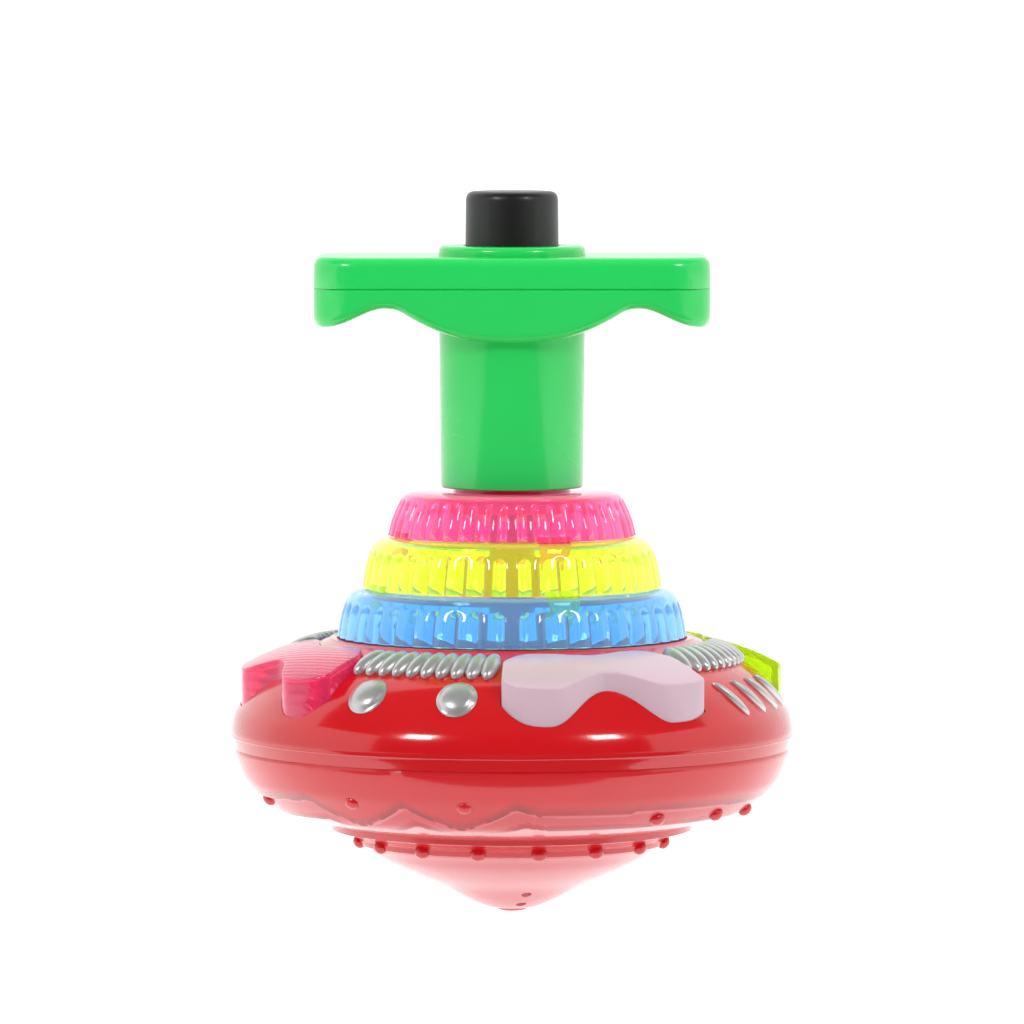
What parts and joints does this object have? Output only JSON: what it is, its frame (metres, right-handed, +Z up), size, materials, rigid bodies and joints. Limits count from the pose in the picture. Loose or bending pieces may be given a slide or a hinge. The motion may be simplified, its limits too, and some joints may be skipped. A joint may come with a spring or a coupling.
{
  "type": "light up spinning top with launcher",
  "caption": "Spinning top with stacked clear light caps, a domed body and a pointed tip, hung under a T-handled hand launcher with a push button on top.",
  "frame": {"origin": "the lowest point of the tip, on the spin axis", "axes": "+Z up along the spin axis, +X along the handle to its right end, the front faces -Y"},
  "size_m": [0.097, 0.097, 0.1243],
  "materials": {
    "green_plastic": "glossy green",
    "black_plastic": "satin black",
    "red_plastic": "glossy red",
    "pink_lens": "clear pink plastic",
    "yellow_lens": "clear yellow-green plastic",
    "blue_lens": "clear blue plastic",
    "white_lens": "milky plastic",
    "silver_paint": "silver paint on plastic",
    "steel": "plain",
    "brass": "plain",
    "white_plastic": "plain",
    "board": "green board",
    "clear_led": "clear lamp"
  },
  "bodies": {
    "launcher": {"handle_housing": "green_plastic", "handle_cover": "green_plastic", "handle_screw_left": "steel", "handle_screw_right": "steel", "bearing_plate": "white_plastic", "spring_drum": "white_plastic", "drum_lid": "white_plastic", "mainspring": "steel", "button_spring": "steel", "pawl_pin": "steel", "pawl_spring": "steel"},
    "button": {"push_button": "black_plastic", "ejector_rod": "steel"},
    "drive": {"drive_shaft": "steel", "ratchet_wheel": "steel", "drive_head": "black_plastic"},
    "pawl": {"pawl": "brass"},
    "top": {"socket_screw": "steel", "switch_spring": "steel", "button_cell_1": "steel", "button_cell_2": "steel", "button_cell_3": "steel", "battery_tray": "black_plastic", "drive_socket": "red_plastic", "upper_shell": "red_plastic", "lower_shell": "red_plastic", "battery_contact": "brass", "sounder": "brass", "switch_post": "brass", "circuit_board": "board", "lens_white": "white_lens", "led_white": "clear_led", "lens_pink": "pink_lens", "led_pink": "clear_led", "lens_blue": "blue_lens", "led_blue": "clear_led", "lens_yellow": "yellow_lens", "led_yellow": "clear_led", "led_centre": "clear_led", "tier_pink": "pink_lens", "tier_yellow": "yellow_lens", "tier_blue": "blue_lens", "silver_coil_front": "silver_paint", "silver_coil_back": "silver_paint", "silver_coil_left": "silver_paint", "silver_coil_right": "silver_paint", "silver_oval_front_1": "silver_paint", "silver_oval_front_2": "silver_paint", "silver_oval_back_1": "silver_paint", "silver_oval_back_2": "silver_paint", "silver_dash_left_1": "silver_paint", "silver_dash_left_2": "silver_paint", "silver_dash_left_3": "silver_paint", "silver_dash_left_4": "silver_paint", "silver_dash_right_1": "silver_paint", "silver_dash_right_2": "silver_paint", "silver_dash_right_3": "silver_paint", "silver_dash_right_4": "silver_paint"}
  },
  "joints": [
    {"name": "button_press", "type": "slide", "parent": "launcher", "child": "button", "axis": [0, 0, -1], "range_m": [0, 0.004], "stiffness_N_per_m": 150, "springref_m": -0.003, "deforming": ["button_spring"]},
    {"name": "drive_spin", "type": "hinge", "parent": "launcher", "child": "drive", "pos_m": [0, 0, 0.09], "axis": [0, 0, 1], "continuous": true},
    {"name": "pawl_swing", "type": "hinge", "parent": "launcher", "child": "pawl", "pos_m": [0.00975, 0, 0.1018], "axis": [0, 0, -1], "range_deg": [0, 12], "stiffness_Nm_per_rad": 0.002, "springref_deg": -11.46},
    {"name": "top_release", "type": "slide", "parent": "drive", "child": "top", "axis": [0, 0, -1], "range_m": [0, 0.03]}
  ]
}
